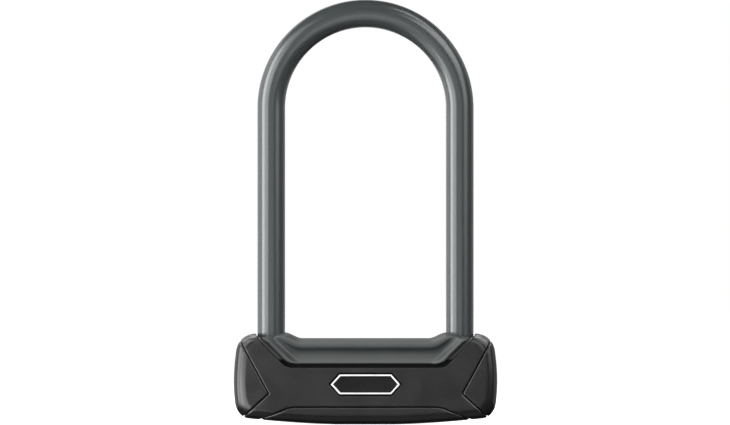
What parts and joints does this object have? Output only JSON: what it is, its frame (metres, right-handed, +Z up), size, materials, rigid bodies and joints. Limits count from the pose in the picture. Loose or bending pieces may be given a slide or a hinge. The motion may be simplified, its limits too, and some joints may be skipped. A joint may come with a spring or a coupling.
{
  "type": "u lock",
  "caption": "Compact U lock: a coated round steel shackle standing in a moulded lock body with its keyway underneath.",
  "frame": {"origin": "on the ground, under the middle of the lock body", "axes": "+Z up along the shackle's legs, +X along the lock body to the right, front towards -Y"},
  "size_m": [0.1352, 0.036, 0.2179],
  "materials": {
    "hardened_steel": "plain hardened steel, finely ground",
    "shackle_coating": "dark grey vinyl with a fine metallic fleck, satin",
    "case_steel": "dark phosphated steel",
    "bright_steel": "bright steel",
    "brass": "turned brass",
    "cast_zinc": "raw die casting",
    "cover_plastic": "black moulded plastic, satin with a fine grain",
    "saddle_plastic": "blue grey soft-touch plastic, matt",
    "seal_rubber": "black rubber, matt",
    "front_plate": "satin silver plate"
  },
  "bodies": {
    "lock_body": {"steel_case": "case_steel", "bolt_keeper": "bright_steel", "cylinder_housing": "brass", "cylinder_cross_pin": "bright_steel", "front_cover": "cover_plastic", "rear_cover": "cover_plastic", "saddle": "saddle_plastic", "bottom_trim": "cover_plastic", "front_plate": "front_plate", "keyhole_seal": "seal_rubber", "end_cap_left": "cover_plastic", "end_cap_right": "cover_plastic", "end_plug_left": "case_steel", "end_plug_right": "case_steel", "roll_pin_left": "bright_steel", "roll_pin_right": "bright_steel", "guide_block_left": "cast_zinc", "guide_block_right": "cast_zinc", "leg_seal_left": "seal_rubber", "leg_seal_right": "seal_rubber"},
    "shackle": {"shackle_bar": "hardened_steel", "shackle_coating": "shackle_coating"},
    "key_plug": {"cylinder_plug": "brass", "drill_guard": "hardened_steel", "sidebar": "bright_steel", "drive_cam": "bright_steel", "flap_pin": "bright_steel", "flap_spring": "bright_steel", "lock_disc_1": "brass", "lock_disc_2": "brass", "lock_disc_3": "brass", "lock_disc_4": "brass", "lock_disc_5": "brass", "lock_disc_6": "brass"},
    "mouth_flap": {"keyway_flap": "bright_steel"},
    "left_bolt": {"bolt_left": "hardened_steel"},
    "right_bolt": {"bolt_right": "hardened_steel"}
  },
  "joints": [
    {"name": "shackle_pull", "type": "slide", "parent": "lock_body", "child": "shackle", "axis": [0, 0, 1], "range_m": [0, 0.045]},
    {"name": "key_turn", "type": "hinge", "parent": "lock_body", "child": "key_plug", "pos_m": [0, 0, 0.0012], "axis": [0, 0, -1], "range_deg": [0, 90]},
    {"name": "bolt_left_slide", "type": "slide", "parent": "lock_body", "child": "left_bolt", "axis": [-1, 0, 0], "range_m": [0, 0.00474]},
    {"name": "bolt_right_slide", "type": "slide", "parent": "lock_body", "child": "right_bolt", "axis": [1, 0, 0], "range_m": [0, 0.00474]},
    {"name": "flap_tip", "type": "hinge", "parent": "key_plug", "child": "mouth_flap", "pos_m": [0.0029, 0, 0.0052], "axis": [0, 1, 0], "range_deg": [0, 80], "stiffness_Nm_per_rad": 0.0003, "springref_deg": -17.19, "deforming": ["flap_spring"]}
  ],
  "couplings": [
    {"joint": "key_turn", "follows": "bolt_right_slide", "rad_per_m": 331.55},
    {"joint": "bolt_left_slide", "follows": "bolt_right_slide", "ratio": 1}
  ]
}
